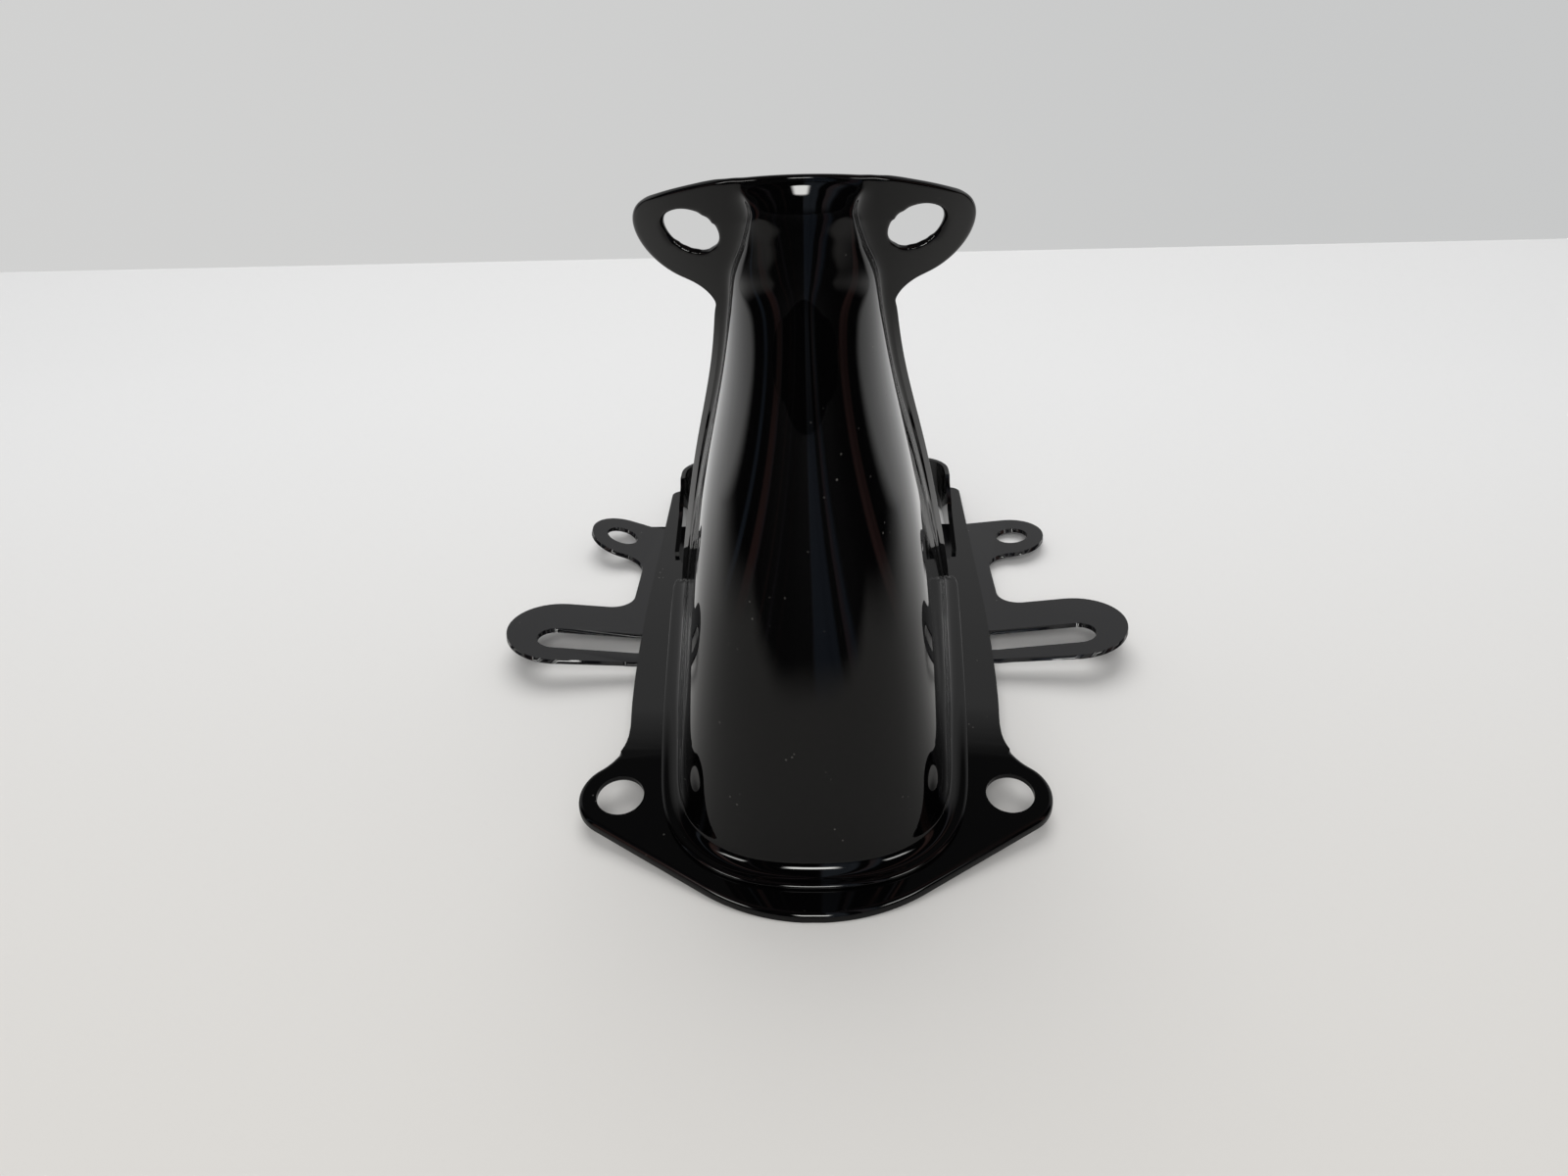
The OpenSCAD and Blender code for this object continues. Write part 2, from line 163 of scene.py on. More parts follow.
def lowered(y):
    """How far the soft bend lies below the sharp one."""
    reach = max(BEND_SOFT - abs(y - BEND_Y), 0)
    return (LAMP_TILT + RAIL_TILT) / 2 * reach * reach / (2 * BEND_SOFT)


def plate_top(y):
    sharp = min(BEND_Z - (BEND_Y - y) * LAMP_TILT, BEND_Z - (y - BEND_Y) * RAIL_TILT)
    return sharp - lowered(y)


print("bend at", BEND_Y, "height", round(plate_top(BEND_Y), 2))

# %% [markdown]
# ## The nacelle, 1: how its skin runs
# On the real bracket one sheet is drawn into a hollow arch, whose top is crowned to fit a
# mudguard and whose foot is turned out into a narrow flange. It could be carved from a
# box, but a drawn skin is easiest to rule by sections: nine stations from foot to top
# edge, each with its ridge, the foot of its side wall and its hollow root, and a smooth
# curve through them. The frame of the mudguard has x across, w up along it, e outwards.

# %% The frame of the mudguard
GUARD_R = 79.0
GUARD_SLOPE = radians(30.5)
GUARD_HOLE = (23.6, 45.8, 158.0)
GUARD_HOLE_R = 6.2
HOLE_LEAN = asin(GUARD_HOLE[0] / GUARD_R)


def drop(x):
    return GUARD_R - sqrt(GUARD_R * GUARD_R - x * x)


def from_guard(x, w, e):
    out = e + drop(GUARD_HOLE[0])
    return (x, GUARD_HOLE[1] - w * sin(GUARD_SLOPE) - out * cos(GUARD_SLOPE),
            GUARD_HOLE[2] + w * cos(GUARD_SLOPE) - out * sin(GUARD_SLOPE))


# %% The outline of the upper flange: neck, hollow corner, round ear, shallow top arc
TOP_EDGE_W = 18.0
EAR_X, EAR_W, GUARD_EAR_R = 24.7, -3.4, 12.0
NECK_X, NECK_R = 19.8, 8.0
neck_x = NECK_X + NECK_R
neck_w = EAR_W - sqrt((GUARD_EAR_R + NECK_R) ** 2 - (neck_x - EAR_X) ** 2)
ear_below_top = TOP_EDGE_W - EAR_W
top_r = (EAR_X ** 2 + ear_below_top ** 2 - GUARD_EAR_R ** 2) / (2 * (ear_below_top - GUARD_EAR_R))
top_w = TOP_EDGE_W - top_r
ear_from = degrees(atan2(neck_w - EAR_W, neck_x - EAR_X))
ear_to = degrees(atan2(EAR_W - top_w, EAR_X))


def ear_outline(t):
    """From the neck, at 0, round the ear to the start of the top arc, at 1."""
    if t < 0.25:
        a = radians(180 + ear_from * t / 0.25)
        return neck_x + NECK_R * cos(a), neck_w + NECK_R * sin(a)
    a = radians(ear_from + (ear_to - ear_from) * (t - 0.25) / 0.75)
    return EAR_X + GUARD_EAR_R * cos(a), EAR_W + GUARD_EAR_R * sin(a)


# %% The stations: ridge w and e, foot w and x, root radius, round part, squareness, front
STATIONS = [
    (-111.4, 100.7, -174.5, 43.6, 2.0, 0.22, 2.6, 0.76),
    (-87.0, 82.8, -135.0, 37.2, 2.0, 0.30, 2.5, 0.80),
    (-55.1, 58.1, -90.0, 29.4, 2.0, 0.50, 2.3, 0.88),
    (-24.1, 32.0, -48.0, 20.9, 2.2, 0.86, 2.0, 0.97),
    (-5.2, 15.2, -23.4, 17.0, 2.6, 1.00, 1.75, 1.00),
    (2.0, 10.1, -10.5, 15.2, 3.4, 1.00, 1.75, 1.00),
    (8.4, 7.0, -2.5, 12.2, 5.6, 1.00, 1.8, 1.00),
    (13.4, 4.7, 5.4, 10.2, 6.6, 1.00, 1.8, 1.00),
    (18.0, 0.0, 15.7, 9.6, 6.2, 1.00, 1.8, 1.00)]
NECK, TOP = 4, 8
SIDE_LIP, LIP_FOLD = 1.5, 0.6


def at_station(t, k):
    i = min(int(t), TOP - 1)
    f = t - i
    a, b, c, d = (STATIONS[n][k] for n in (max(i - 1, 0), i, i + 1, min(i + 2, TOP)))
    return b + 0.5 * f * (c - a + f * (2 * a - 5 * b + 4 * c - d + f * (3 * (b - c) + d - a)))


print("stations:", len(STATIONS), "neck width", round(2 * at_station(NECK, 3), 1))

# %% [markdown]
# ## The nacelle, 2: a point of the skin
# Each point is found by its station and its column. The columns run from the ridge over
# the arch, through the hollow root, and out over the flange to its edge. Above the neck
# the arch sinks into the crown, which is how the draw dies out on the real sheet.

# %% A point of the skin
ARCH, ROOT, FLANGE = 16, 4, 10
COLUMNS = ARCH + ROOT + FLANGE


def top_arc(x):
    return top_w + sqrt(top_r ** 2 - x * x)


def settle(x, w, e, t, even_x):
    """Just below the top edge the arch sinks into the crown and its columns spread."""
    spread, sink = (min(max((t - start) / (TOP - start), 0), 1) for start in (7.0, 7.55))
    x += (even_x - x) * spread * spread * (3 - 2 * spread)
    return x, w, e + (-drop(x) - e) * sink * sink * (3 - 2 * sink)


def skin(t, c):
    ridge_w, ridge_e, foot_w, wall_x, r, round_part, power, front = (
        at_station(t, k) for k in range(8))
    turn_out = pi / 2 - asin(wall_x / GUARD_R)
    edge_x = wall_x + r * (1 - cos(turn_out))
    even_x = edge_x * c / (ARCH + ROOT)
    edge = Vector((foot_w, -drop(edge_x)))
    ridge = Vector((ridge_w, ridge_e))
    reach = (edge - ridge).length
    along = (edge - ridge) / reach
    depth = min(r * sin(turn_out), 0.6 * reach)
    wall = edge - along * depth
    if c <= ARCH:
        u = (c / ARCH) ** 1.9
        s = (1 - (1 - min(u / round_part, 1)) ** power) ** (1 / power)
        p = ridge + (wall - ridge) * u
        x, w, e = settle(wall_x * (front + (1 - front) * u ** 0.8) * s, p[0], p[1], t, even_x)
    elif c <= ARCH + ROOT:
        b = turn_out * (c - ARCH) / ROOT
        p = wall + along * depth * sin(b) / sin(turn_out)
        x, w, e = settle(wall_x + r * (1 - cos(b)), p[0], p[1], t, even_x)
    else:
        f = (c - ARCH - ROOT) / FLANGE
        ear_x, ear_w = edge_x + SIDE_LIP, foot_w
        if t > NECK:
            ear_x, ear_w = ear_outline((t - NECK) / (TOP - NECK))
        x, w = edge_x + (ear_x - edge_x) * f, foot_w + (ear_w - foot_w) * f
        if t > TOP - 1:
            w += (top_arc(x) - w) * (t - TOP + 1) ** 3
        fold = LIP_FOLD * min(max(NECK - t, 0), 1)
        return x, w, -drop(x) - fold * (x - edge_x)
    if t > TOP - 1:
        low_w = skin(TOP - 1, c)[1]
        w = low_w + (top_arc(x) - low_w) * (t - TOP + 1)
    return x, w, e


# %% [markdown]
# ## The nacelle, 3: its foot
# The lowest row of the arch is brought down on the plates. From there a hollow root of
# 3.3 mm turns the sheet outwards into the base flange, which is spot-welded on the real
# one. The rows of the foot are given by the angle of the root and the width beyond it.

# %% The foot of the nacelle
ROOT_R = 3.3
SEAT = 1.02 * SHEET
BASE_FLANGE_W = 2.4
BASE_ROWS = [(90, BASE_FLANGE_W), (90, 0.7), (90, 0.1), (60, 0), (30, 0)]


def foot_point(c):
    x, y = from_guard(*skin(0, c))[:2]
    return x, y, plate_top(y) + SEAT + ROOT_R


def foot_out(c):
    """The way the foot turns out at a column."""
    if c == 0:
        return 0, -1
    if c <= ARCH:
        a, b = foot_point(c - 1), foot_point(min(c + 1, ARCH))
        along = Vector((b[1] - a[1], a[0] - b[0])).normalized()
        return along[0], along[1]
    swing = radians(60 * (c - ARCH) / (ROOT + FLANGE))
    return cos(swing), sin(swing)


def base_point(c, angle, flat):
    x, y = foot_point(c)[:2]
    nx, ny = foot_out(c)
    share = 1 if c <= ARCH else 1 - 0.6 * (c - ARCH) / (ROOT + FLANGE)
    o = (ROOT_R * (1 - cos(radians(angle))) + flat) * share
    return x + nx * o, y + ny * o, plate_top(y + ny * o) + SEAT + ROOT_R * (1 - sin(radians(angle)))


# %% [markdown]
# ## The nacelle, 4: room for the two mudguard holes
# A hole could be cut with a Boolean, but the cut would leave slivers that show in gloss
# paint. Here the grid itself makes room, as a modeller does by hand: the faces inside
# the circle go, the loop around them is set on the circle, and the next few rings relax.
# All of that happens on the crown, so that the flange keeps its true curve.

# %% The rows of the grid
ROWS = [k / 4 for k in range(4 * NECK)] + [NECK + k / 7 for k in range(7 * (TOP - NECK) + 1)]
grid = [[skin(t, c) for c in range(COLUMNS + 1)] for t in ROWS]
first_flange = ARCH + ROOT


def on_crown(s, w):
    x = GUARD_R * sin(s / GUARD_R)
    return x, w, -drop(x)


def from_hole(point):
    """Place on the crown relative to the hole, along the crown and up along it."""
    s = GUARD_R * (asin(point[0] / GUARD_R) - HOLE_LEAN)
    return Vector((s, point[1]))


# %% Open the holes in the grid
hole_cells = set()
for j in range(len(ROWS) - 1):
    for c in range(first_flange, COLUMNS):
        corners = [from_hole(grid[j + a][c + b]) for a in (0, 1) for b in (0, 1)]
        if ROWS[j] >= NECK and (sum(corners, Vector((0, 0))) / 4).length < GUARD_HOLE_R * 0.93:
            hole_cells.add((j, c))
rim, inside = set(), set()
for j in range(len(ROWS)):
    for c in range(first_flange, COLUMNS + 1):
        around = [(j - a, c - b) in hole_cells for a in (0, 1) for b in (0, 1)]
        if all(around):
            inside.add((j, c))
        elif any(around):
            rim.add((j, c))
print("cells taken out of each flange:", len(hole_cells), "points on the rim:", len(rim))

# %% Set the rim on the circle and relax its neighbours
flat = {(j, c): from_hole(grid[j][c]) for j in range(len(ROWS))
        for c in range(first_flange, COLUMNS + 1) if ROWS[j] >= NECK}
RELAXED_R, RELAX_STEPS = 2.1 * GUARD_HOLE_R, 60
loose = [key for key, p in flat.items() if key not in rim and key not in inside
         and first_flange < key[1] < COLUMNS and key[0] < len(ROWS) - 1 and p.length < RELAXED_R]
for step in range(RELAX_STEPS):
    for key in rim:
        near = [flat[n] for n in ((key[0] + 1, key[1]), (key[0] - 1, key[1]), (key[0], key[1] + 1),
                                  (key[0], key[1] - 1)) if n in flat and n not in inside]
        pulled = flat[key] * 0.5 + sum(near, Vector((0, 0))) / len(near) * 0.5
        flat[key] = pulled.normalized() * GUARD_HOLE_R
    for j, c in loose:
        near = [flat[n] for n in ((j + 1, c), (j - 1, c), (j, c + 1), (j, c - 1)) if n in flat]
        flat[(j, c)] = flat[(j, c)] * 0.5 + sum(near, Vector((0, 0))) / len(near) * 0.5
for key in list(rim) + loose:
    grid[key[0]][key[1]] = on_crown(flat[key][0] + GUARD_R * HOLE_LEAN, flat[key][1])
widths = [flat[key].length for key in rim]
print("rim radius from", round(min(widths), 2), "to", round(max(widths), 2))

# %% [markdown]
# ## The nacelle, 5: the skin becomes sheet
# A plain grid is added and its points are set row by row. The hole's faces are deleted,
# Solidify gives the sheet its thickness inwards, and Subdivision Surface smooths it all
# and rounds its edges a little, as pressing and paint do.

# %% Build the nacelle
half_rows = [[base_point(c, *row) for c in range(COLUMNS + 1)] for row in BASE_ROWS]
for j, t in enumerate(ROWS):
    points = []
    for c in range(COLUMNS + 1):
        x, y, z = from_guard(*grid[j][c])
        near_foot = max(0, 1 - t / 0.75)
        z += near_foot * (foot_point(c)[2] - from_guard(*skin(0, c))[2])
        points.append((x, y, z))
    half_rows.append(points)
across, up = 2 * COLUMNS + 1, len(half_rows)
bpy.ops.object.select_all(action="DESELECT")
bpy.ops.mesh.primitive_grid_add(x_subdivisions=across - 1, y_subdivisions=up - 1, size=0.1)
nacelle = bpy.context.object
nacelle.name = "nacelle_skin"
for j in range(up):
    for i in range(across):
        x, y, z = half_rows[j][abs(i - COLUMNS)]
        nacelle.data.vertices[j * across + i].co = place(-x if i < COLUMNS else x, y, z)
print("grid of", up, "by", across, "points")

# %% Cut the holes and give the sheet its thickness
skip = len(BASE_ROWS)
cells = {((j + skip) * (across - 1) + COLUMNS + c) for j, c in hole_cells}
cells |= {((j + skip) * (across - 1) + COLUMNS - 1 - c) for j, c in hole_cells}
pick(nacelle, "faces", lambda face: face.index in cells)
bpy.ops.mesh.delete(type="FACE")
pick(nacelle, "verts", lambda vert: not vert.link_faces)
bpy.ops.mesh.delete(type="VERT")
done(nacelle)
apply(nacelle, "SOLIDIFY", thickness=SHEET * MM, offset=-1)
apply(nacelle, "SUBSURF", levels=2, render_levels=2)
bpy.ops.object.shade_smooth()
report(nacelle)

# %% [markdown]
# ## The lamp plate and the carrier
# Both are flat blanks that are cut, punched and bent, and the CAD already holds those
# shapes exactly. Remaking them would only lose truth, so each piece starts as a merged
# copy of its CAD mesh. What the CAD leaves out is what a press and paint add: the soft
# cross bend, the rolled front lip, and the small radius on every cut edge.

# %% A clean copy of a CAD node
def copy_of(node, name):
    piece = bpy.data.objects.new(name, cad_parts[node].data.copy())
    bpy.context.scene.collection.objects.link(piece)
    piece.data.materials.clear()
    only(piece)
    bpy.ops.object.mode_set(mode="EDIT")
    bpy.ops.mesh.select_all(action="SELECT")
    bpy.ops.mesh.customdata_custom_splitnormals_clear()
    bpy.ops.mesh.remove_doubles(threshold=2e-6)
    bpy.ops.mesh.dissolve_limited(angle_limit=radians(0.7))
    return done(piece)


plate = copy_of("lamp_plate", "lamp_plate_sheet")
carrier = copy_of("plate_carrier", "plate_carrier_sheet")
report(plate)
report(carrier)

# %% Make the cross bend soft
for step in (-1, -0.66, -0.33, 0.33, 0.66, 1):
    only(plate)
    bpy.ops.object.mode_set(mode="EDIT")
    bpy.ops.mesh.select_all(action="SELECT")
    bpy.ops.mesh.bisect(plane_co=place(0, BEND_Y + step * BEND_SOFT, 0), plane_no=(0, 1, 0))
done(plate)
moved = 0
for vertex in plate.data.vertices:
    fall = lowered(drawn(vertex.co)[1])
    if fall > 0:
        vertex.co.z -= fall * MM
        moved += 1
print("points lowered along the bend:", moved)

# %% [markdown]
# ## Rolled and broken edges
# The front lip is pressed over a block, so its upper edge has a radius of more than a
# millimetre, which draws the bright line along the front. All other edges were cut, and
# their burr was broken before painting: 0.35 mm is enough to catch the light.

# %% Roll the front edge, then break the others
ROLLED, BROKEN = 1.3, 0.35
WINDOW_X, WINDOW_Y = 36, 12


def on_front_edge(edge):
    if len(edge.link_faces) != 2 or edge.calc_face_angle(0) < radians(60):
        return False
    for vertex in edge.verts:
        x, y, z = drawn(vertex.co)
        if y > BEND_Y - 8 or abs(z - plate_top(y)) > 0.05:
            return False
        if hypot(abs(x) - LAMP_HOLE[0], y - LAMP_HOLE[1]) < EAR_R - 1:
            return False
        if abs(x) < WINDOW_X and y > WINDOW_Y:
            return False
    return True


print("edges rolled:", pick(plate, "edges", on_front_edge))
bpy.ops.mesh.bevel(offset=ROLLED * MM, segments=4, profile=0.5, affect="EDGES")
done(plate)
for piece in (plate, carrier):
    apply(piece, "BEVEL", width=BROKEN * MM, segments=2, limit_method="ANGLE",
          angle_limit=radians(40))
    bpy.ops.object.shade_smooth()
    apply(piece, "WEIGHTED_NORMAL", keep_sharp=True, weight=80)
    report(piece)

# %% [markdown]
# ## Shader maths as plain sums
# A wrapped socket can be added, multiplied and subtracted in Python, and each operation
# leaves a Math node behind. All other nodes come from one method.

# %% Sockets that add and multiply
class Wire:
    def __init__(self, tree, socket):
        self.tree, self.socket = tree, socket

    def math(self, operation, a, b):
        return self.tree.node("ShaderNodeMath", {"operation": operation}, {0: a, 1: b})

    def __add__(self, other): return self.math("ADD", self, other)
    def __radd__(self, other): return self.math("ADD", other, self)
    def __sub__(self, other): return self.math("SUBTRACT", self, other)
    def __rsub__(self, other): return self.math("SUBTRACT", other, self)
    def __mul__(self, other): return self.math("MULTIPLY", self, other)
    def __rmul__(self, other): return self.math("MULTIPLY", other, self)


class Tree:
    """The nodes of one material, lamp or world."""

    def __init__(self, owner):
        owner.use_nodes = True
        self.nodes, self.links = owner.node_tree.nodes, owner.node_tree.links
        self.nodes.clear()

    def node(self, kind, settings=None, inputs=None, out=0):
        made = self.nodes.new(kind)
        for name, value in (settings or {}).items():
            if name == "stops":
                ramp = made.color_ramp.elements
                while len(ramp) < len(value):
                    ramp.new(0.5)
                for element, (position, color) in zip(ramp, value):
                    element.position, element.color = position, color
            else:
                setattr(made, name, value)
        for name, value in (inputs or {}).items():
            if isinstance(value, Wire):
                self.links.new(value.socket, made.inputs[name])
            else:
                made.inputs[name].default_value = value
        return Wire(self, made.outputs[out]) if made.outputs else made

    def between(self, value, low, high, to_low=0.0, to_high=1.0):
        """A soft step of a value from low to high."""
        return self.node("ShaderNodeMapRange", {"interpolation_type": "SMOOTHSTEP"},
                         {0: value, 1: low, 2: high, 3: to_low, 4: to_high})

    def blend(self, factor, a, b):
        return self.node("ShaderNodeMix", {"data_type": "RGBA"}, {0: factor, 6: a, 7: b}, out=2)

    def band(self, value, start, full_from, full_to, end):
        """1 between the two inner values, falling softly to 0 at the outer ones."""
        return self.between(value, start, full_from) * self.between(value, end, full_to)

    def axes(self, vector, count=3):
        return [self.node("ShaderNodeSeparateXYZ", {}, {0: vector}, out=k) for k in range(count)]

    def stripes(self, along, scale, detail):
        return self.node("ShaderNodeTexNoise", {"noise_dimensions": "1D"},
                         {"W": along, "Scale": scale, "Detail": detail})


# %% [markdown]
# ## Gloss black enamel
# The real finish is a thick, deep black with a mirror gloss. One flat colour would look
# like plastic: sprayed enamel has a fine orange peel, follows the slow waves that
# pressing leaves in the sheet, and gathers a little dust and a few dull rubbed places.
# The pattern is laid on Object coordinates, which here are metres of the part itself.

# %% The paint
WAVE_DEPTH, PEEL_DEPTH = 0.00003, 0.0000005
DUST_COLOR = (0.16, 0.155, 0.145, 1)


def enamel(name, base, waves, dust=1.0, rub=1.0, gloss=0.035, mirror=0.40):
    material = bpy.data.materials.new(name)
    tree = Tree(material)
    where = tree.node("ShaderNodeTexCoord", out=3)

    def noise(scale, detail=2.0, rough=0.5):
        return tree.node("ShaderNodeTexNoise", {}, {"Vector": where, "Scale": scale,
                                                    "Detail": detail, "Roughness": rough})

    slow = noise(38.0, 1.0)
    fine = noise(850.0, 2.0)
    cloud = noise(70.0, 4.0, 0.6)
    specks = tree.node("ShaderNodeTexVoronoi", {"feature": "F1"}, {"Vector": where, "Scale": 420.0})
    seldom = tree.between(noise(95.0, 2.0), 0.60, 0.72)
    dusty = tree.between(specks, 0.16, 0.06) * seldom * dust
    rubbed = tree.between(cloud, 0.58, 0.80) * rub
    color = tree.blend(dusty * 0.5, (*base, 1), DUST_COLOR)
    bump = tree.node("ShaderNodeBump", {}, {
        "Strength": 1.0, "Distance": WAVE_DEPTH * waves, "Height": slow})
    bump = tree.node("ShaderNodeBump", {}, {
        "Strength": 1.0, "Distance": PEEL_DEPTH, "Height": fine, "Normal": bump})
    surface = tree.node("ShaderNodeBsdfPrincipled", {}, {
        "Base Color": color, "Roughness": gloss + rubbed * 0.05 + dusty * 0.3, "IOR": 1.5,
        "Specular IOR Level": mirror, "Normal": bump})
    tree.node("ShaderNodeOutputMaterial", {}, {"Surface": surface})
    return material


# %% Paint the pieces and say what each stands for
nacelle_enamel = enamel("nacelle_enamel", (0.0009, 0.0009, 0.0010), waves=2.6)
lamp_plate_enamel = enamel("lamp_plate_enamel", (0.0011, 0.0011, 0.0012), waves=3.0, rub=1.4)
carrier_enamel = enamel("carrier_enamel", (0.0042, 0.0042, 0.0050), waves=1.0, dust=1.3, rub=1.6,
                        gloss=0.11, mirror=0.56)
for piece, node, slot_name, material in (
        (nacelle, "nacelle", "nacelle_paint", nacelle_enamel),
        (plate, "lamp_plate", "lamp_plate_paint", lamp_plate_enamel),
        (carrier, "plate_carrier", "carrier_paint", carrier_enamel)):
    piece.data.materials.append(material)
    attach(piece, "root")
    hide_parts(node)
    print(piece.name, "stands for", node, "in", slot_name)

# %% [markdown]
# ## The table
# The bracket lies on a pale matte table whose far edge shows high in the picture. The
# table is a stage, not part of the object. Its colour holds painted light: the board is
# painted darker and warmer towards the near edge, a painted falloff of the ceiling light.
# What the gloss sees of it matters too: the nacelle mirrors a bright table top that ends
# close by in front and at the sides, and the dark room beyond it. So for mirrored rays the
# board is painted darker near the part, a painted shade, and outside that area dark with
# faint streaks, a painted reflection of the room, while the camera sees it pale all over,
# only darker towards the near edge.

# %% The table top
TABLE_WIDTH, TABLE_NEAR, TABLE_FAR = 2.8, -1.4, 0.42
bpy.ops.object.select_all(action="DESELECT")
bpy.ops.mesh.primitive_plane_add(size=1, location=(0, 0, 0))
table = bpy.context.object
table.name = "table"
for vertex in table.data.vertices:
    vertex.co = (vertex.co.x * TABLE_WIDTH, TABLE_FAR if vertex.co.y > 0 else TABLE_NEAR, 0)
print("table ends at y", TABLE_FAR)

# %% The board, as the camera sees it
MIRROR_SHADE_BLACK = (0.0, 0.0, 0.0, 1)
ROOM_REFLECTION_DARK = (0.004, 0.004, 0.005, 1)
STREAK_SCALE, HUE_SCALE = 3.4, 2.5

board = bpy.data.materials.new("table_board")
tree = Tree(board)
where = tree.node("ShaderNodeTexCoord", out=3)
x, y = tree.axes(where, 2)
grain = tree.node("ShaderNodeTexNoise", {}, {"Vector": where, "Scale": 6.0, "Detail": 3.0})
# Painted light: the board is darker and warmer towards the near edge, a painted falloff of the
# ceiling light, and paler at the far edge.
board_color = tree.blend(tree.between(y, -0.30, 0.25),
                         (0.68, 0.66, 0.625, 1), (0.83, 0.83, 0.825, 1))
board_color = tree.blend(grain * 0.06, board_color, (0.6, 0.6, 0.6, 1))

# %% The board, as the gloss sees it
wobble = (grain - 0.5) * 0.05
inner = tree.band(x + wobble, -0.40, -0.20, 0.18, 0.38) * tree.between(y + wobble, -0.265, -0.205)
beyond = tree.between(y, 0.04, 0.13)
lit_area = tree.node("ShaderNodeMath", {"operation": "MAXIMUM"}, {0: inner, 1: beyond})
mirror_ray = tree.node("ShaderNodeLightPath", out=3)
# Painted reflection: outside the lit area, mirrored rays see the board painted dark with faint
# reddish and bluish streaks, standing in for the room beyond the table.
around = tree.node("ShaderNodeMath", {"operation": "ARCTAN2"}, {0: x, 1: 0 - y})
hues = tree.stripes(around, HUE_SCALE, 0.0)
painted_room_reflection = tree.blend(tree.between(hues, 0.42, 0.58),
                        (0.22, 0.11, 0.10, 1), (0.09, 0.12, 0.17, 1))
painted_room_reflection = tree.blend(tree.between(tree.stripes(around, STREAK_SCALE, 1.0), 0.51, 0.62), ROOM_REFLECTION_DARK,
                        painted_room_reflection)
# Painted shade: for mirrored rays the board is darkened towards black near the part, standing in
# for the shade around it.
painted_shade_in_mirror = tree.between(y, 0.10, -0.12, 0.0, 0.45)
board_color = tree.blend(mirror_ray * painted_shade_in_mirror, board_color, MIRROR_SHADE_BLACK)
board_color = tree.blend(mirror_ray * (1 - lit_area), board_color, painted_room_reflection)
surface = tree.node("ShaderNodeBsdfPrincipled", {}, {
    "Base Color": board_color, "Roughness": 0.65, "Specular IOR Level": 0.1})
tree.node("ShaderNodeOutputMaterial", {}, {"Surface": surface})
table.data.materials.append(board)
print("board built with", len(tree.nodes), "nodes")

# %% [markdown]
# ## What the gloss sees
# A black mirror is drawn by what surrounds it. The camera sees only a pale wall, but the
# gloss also sees that wall end at a dark ceiling, while the sides and the room in front
# are dark, with faint upright streaks and the shapes of three lamps, one in front and
# one at each side. The world gives each kind of ray its own part, so these shapes show
# in the gloss and leave the light on the table alone.

# %% The wall behind
world = bpy.data.worlds.new("room")
bpy.context.scene.world = world
tree = Tree(world)
x, y, z = tree.axes(tree.node("ShaderNodeTexCoord", out=0))
WALL_FOOT = -0.10
WALL_TONES = [(WALL_FOOT, 0.50), (0.15, 0.48), (0.33, 0.40), (0.48, 0.42), (0.57, 0.46),
              (0.70, 0.36), (0.78, 0.24), (0.84, 0.06), (1.0, 0.03)]
rise = tree.node("ShaderNodeMapRange", {}, {0: z, 1: WALL_FOOT, 2: 1.0})
stops = [((height - WALL_FOOT) / (1 - WALL_FOOT), (tone, tone, tone, 1))
         for height, tone in WALL_TONES]
wall_tone = tree.node("ShaderNodeValToRGB", {"stops": stops}, {0: rise})
behind = tree.between(y, 0.20, 0.42)
print("tones up the wall:", len(stops))

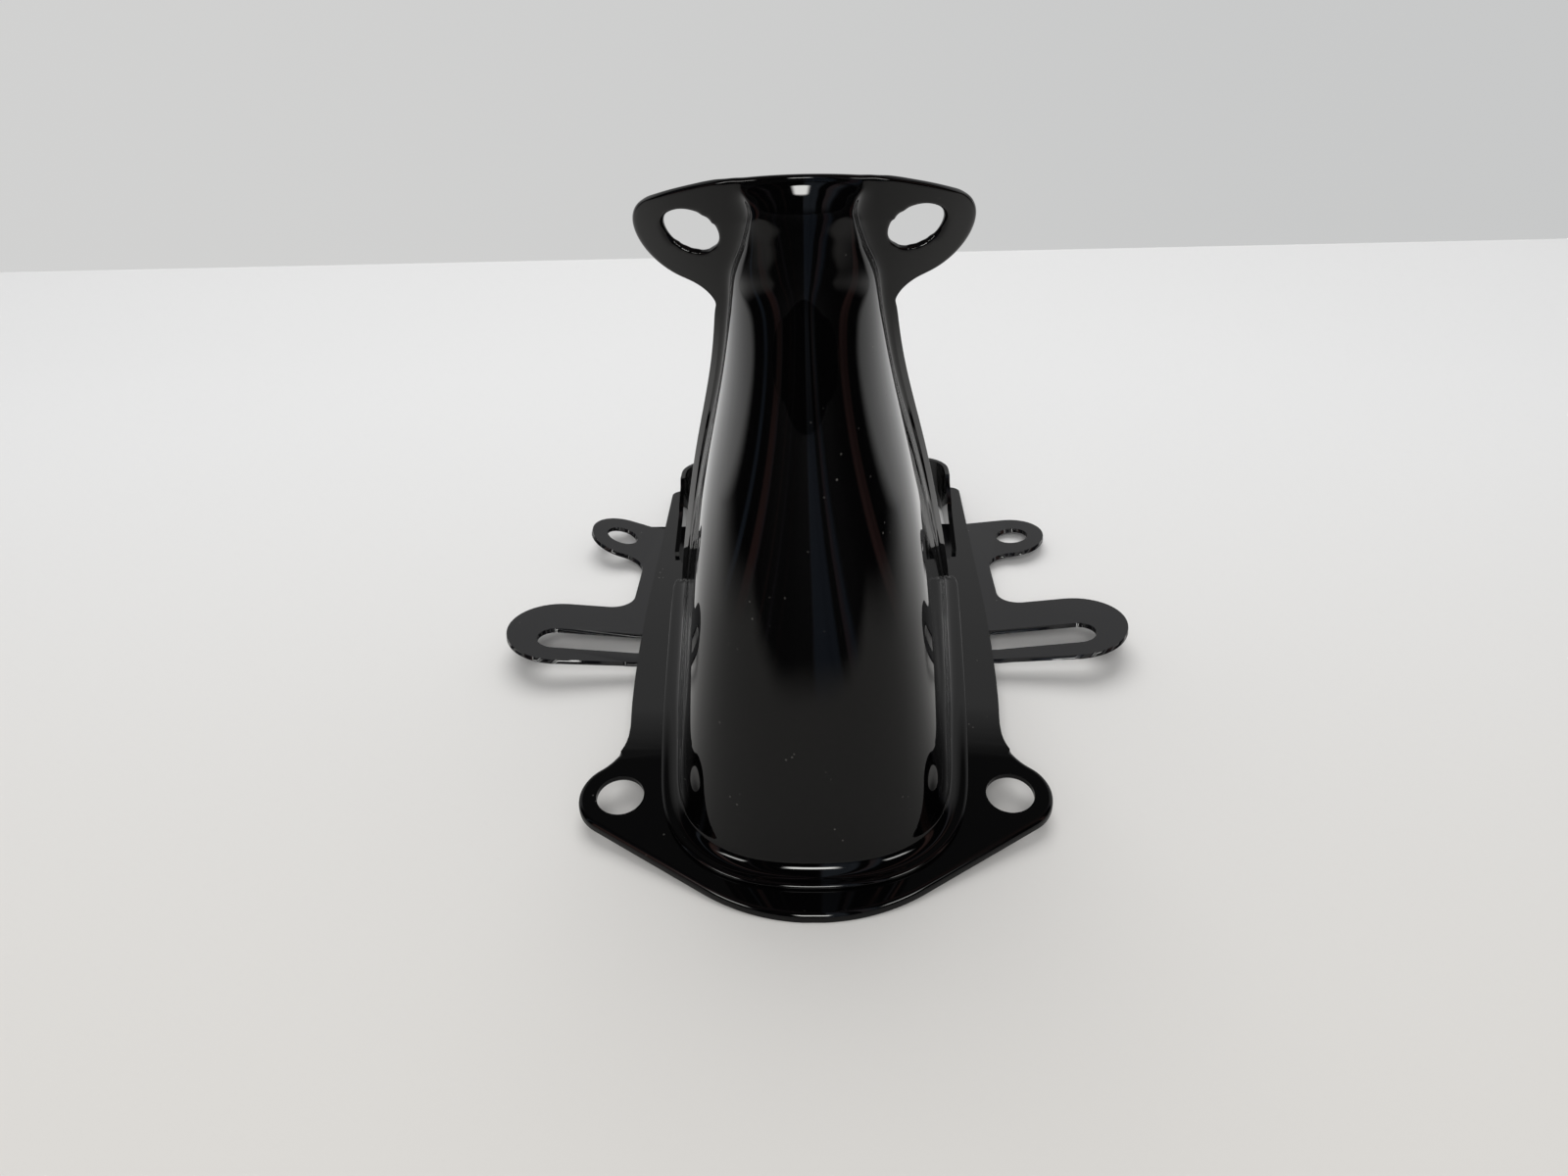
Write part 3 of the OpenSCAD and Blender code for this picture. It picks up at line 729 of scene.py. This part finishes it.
# %% The dark room in front, its streaks and its lamps
around = tree.node("ShaderNodeMath", {"operation": "ARCTAN2"}, {0: x, 1: 0 - y})
streaks = tree.between(tree.stripes(around, STREAK_SCALE, 1.0), 0.51, 0.62)
in_front = streaks * tree.between(z, -0.1, 0.30, 0.25, 1.0)
tint = tree.between(tree.stripes(around, HUE_SCALE, 0.0), 0.4, 0.6)
room = tree.blend(in_front, (0.004, 0.004, 0.0045, 1),
                  tree.blend(tint, (0.42, 0.24, 0.21, 1), (0.24, 0.28, 0.34, 1)))
front_lamp = (tree.band(x, -0.17, -0.10, 0.05, 0.12) * tree.band(z, 0.44, 0.50, 0.62, 0.68)
              * tree.between(y, -0.2, -0.4))
room = tree.blend(front_lamp, room, (20.0, 20.0, 19.4, 1))
sideways = tree.node("ShaderNodeMath", {"operation": "ABSOLUTE"}, {0: x})
side_lamps = (tree.band(sideways, 0.44, 0.50, 0.64, 0.72) * tree.band(z, 0.40, 0.46, 0.56, 0.62)
              * tree.between(y, -0.1, -0.3))
room = tree.blend(side_lamps, room, (9.0, 9.0, 8.8, 1))
mirrored = tree.blend(behind, room, wall_tone)

# %% Each kind of ray gets its own part of the world
seen = tree.node("ShaderNodeLightPath", out=0)
glossy = tree.node("ShaderNodeLightPath", out=3)
fill = tree.blend(glossy, (0.44, 0.44, 0.445, 1), mirrored)
wall = tree.blend(tree.between(x, -0.6, 0.6), (0.64, 0.64, 0.635, 1), (0.575, 0.58, 0.58, 1))
lit = tree.node("ShaderNodeBackground", {}, {
    "Color": tree.blend(seen, fill, wall), "Strength": 1.0})
tree.node("ShaderNodeOutputWorld", {}, {"Surface": lit})
print("world built with", len(tree.nodes), "nodes")

# %% [markdown]
# ## The lamps
# Two large soft sources light the part and the table. The one behind makes the faint
# shadows that fall towards the camera, and the one in front fills them and reaches the
# table under the ear holes. Both are kept out of the mirror, where they would draw hard
# white discs; the gloss has its own lamp shapes in the world.

# %% The lamps
def soft_lamp(name, location, size, watts):
    bpy.ops.object.light_add(type="AREA", location=location)
    lamp = bpy.context.object
    lamp.name = name
    lamp.data.shape = "DISK"
    lamp.data.size = size
    lamp.data.energy = watts
    lamp.rotation_euler = (-Vector(location)).to_track_quat("-Z", "Y").to_euler()
    lamp.visible_glossy = False
    return lamp


lamps = [soft_lamp("ceiling_light_behind", (-0.08, 0.60, 1.50), 1.5, 12.8),
         soft_lamp("ceiling_light_in_front", (-0.05, -1.1, 0.95), 0.7, 7.0)]
print("lamps:", [(lamp.name, lamp.data.energy) for lamp in lamps])
